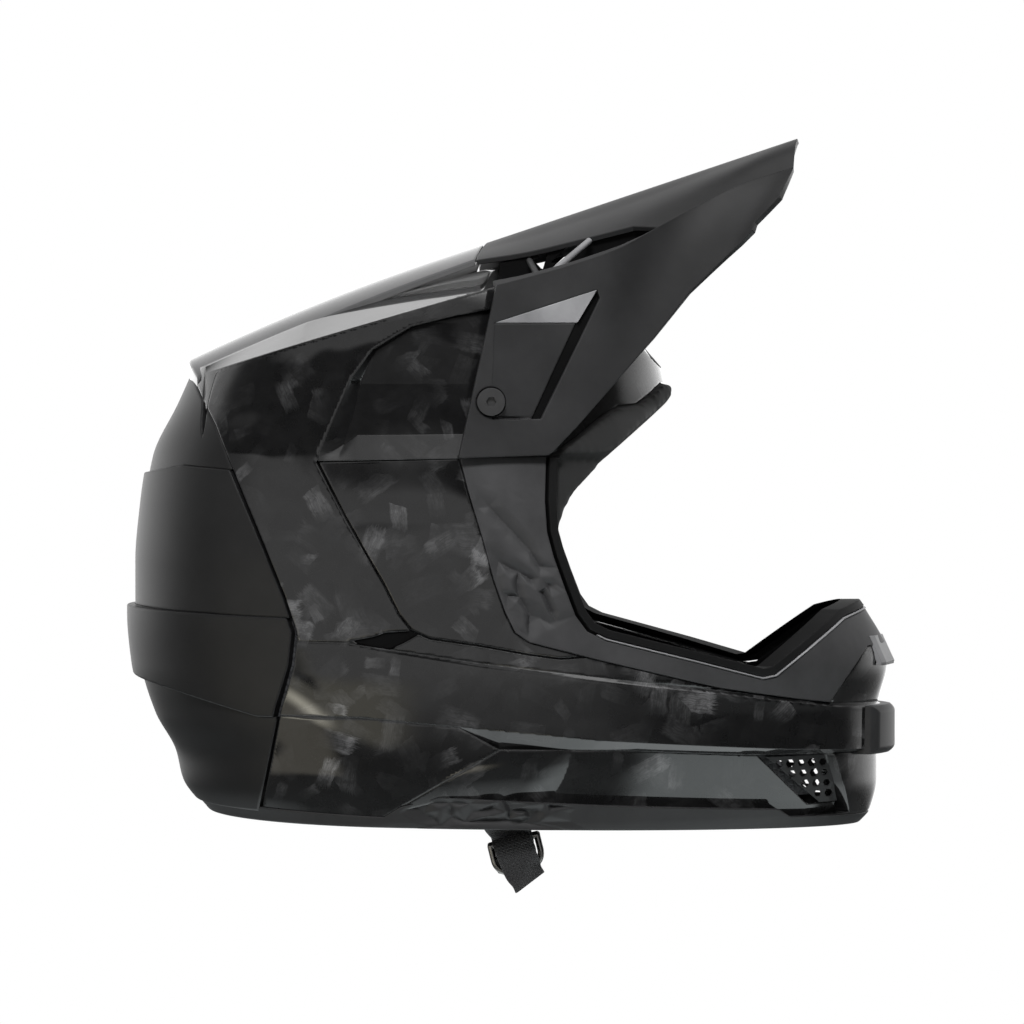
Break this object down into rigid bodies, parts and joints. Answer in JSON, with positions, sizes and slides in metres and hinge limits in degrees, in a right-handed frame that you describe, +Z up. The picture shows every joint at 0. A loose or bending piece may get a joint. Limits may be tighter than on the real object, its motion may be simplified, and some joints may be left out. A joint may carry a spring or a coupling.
{
  "type": "full-face mountain bike helmet",
  "caption": "Full-face mountain bike helmet with a long tilting visor, chin bar, foam liners, padded inside and a strap with D-rings.",
  "frame": {"origin": "centre of the head, midway between the ears, which is the middle of the head cavity", "axes": "+X forward, the way the wearer looks; +Y to the wearer's left; +Z up"},
  "size_m": [0.3693, 0.2284, 0.3536],
  "materials": {
    "carbon": "gloss clear coat over chopped carbon fibre",
    "dark_gloss": "gloss",
    "dark_satin": "satin",
    "frame_matte": "matte with moulded facets",
    "visor_matte": "matte",
    "trim_matte": "matte",
    "seal_rubber": "matte",
    "lip_grey": "satin",
    "grille": "matte",
    "foam": "beaded foam",
    "pad_fabric": "brushed knit",
    "webbing": "woven",
    "steel": "satin",
    "gunmetal": "dark nickel plate",
    "black_screw": "black oxide",
    "nylon": "matte"
  },
  "bodies": {
    "helmet": {"outer_shell": "carbon", "rear_cover": "dark_satin", "crown_spine": "dark_gloss", "eyeport_frame": "frame_matte", "eyeport_seal": "seal_rubber", "brow_trim": "pad_fabric", "base_trim": "trim_matte", "chin_nose": "trim_matte", "chin_lip": "lip_grey", "chin_grille_left": "grille", "chin_grille_right": "grille", "visor_screws": "black_screw", "visor_posts": "steel", "crown_liner": "foam", "side_liner_left": "foam", "side_liner_right": "foam", "chin_liner": "foam", "comfort_liner": "pad_fabric", "neck_roll": "pad_fabric", "cheek_pad_left": "pad_fabric", "cheek_pad_right": "pad_fabric", "cheek_snaps": "nylon", "strap_anchors": "steel", "strap_left": "webbing", "strap_right": "webbing"},
    "visor": {"visor": "visor_matte", "visor_bushes": "nylon"},
    "d_ring_outer": {"d_ring_outer": "gunmetal"},
    "d_ring_inner": {"d_ring_inner": "gunmetal"}
  },
  "joints": [
    {"name": "visor_tilt", "type": "hinge", "parent": "helmet", "child": "visor", "pos_m": [0.0445, 0, 0.0755], "axis": [0, 1, 0], "range_deg": [0, 12]},
    {"name": "d_ring_outer_swing", "type": "hinge", "parent": "helmet", "child": "d_ring_outer", "pos_m": [0.0547, -0.0705, -0.1285], "axis": [0.9703, 0, 0.2419], "range_deg": [-14, 0]},
    {"name": "d_ring_inner_swing", "type": "hinge", "parent": "helmet", "child": "d_ring_inner", "pos_m": [0.0547, -0.066, -0.1285], "axis": [0.9703, 0, 0.2419], "range_deg": [0, 14]}
  ]
}
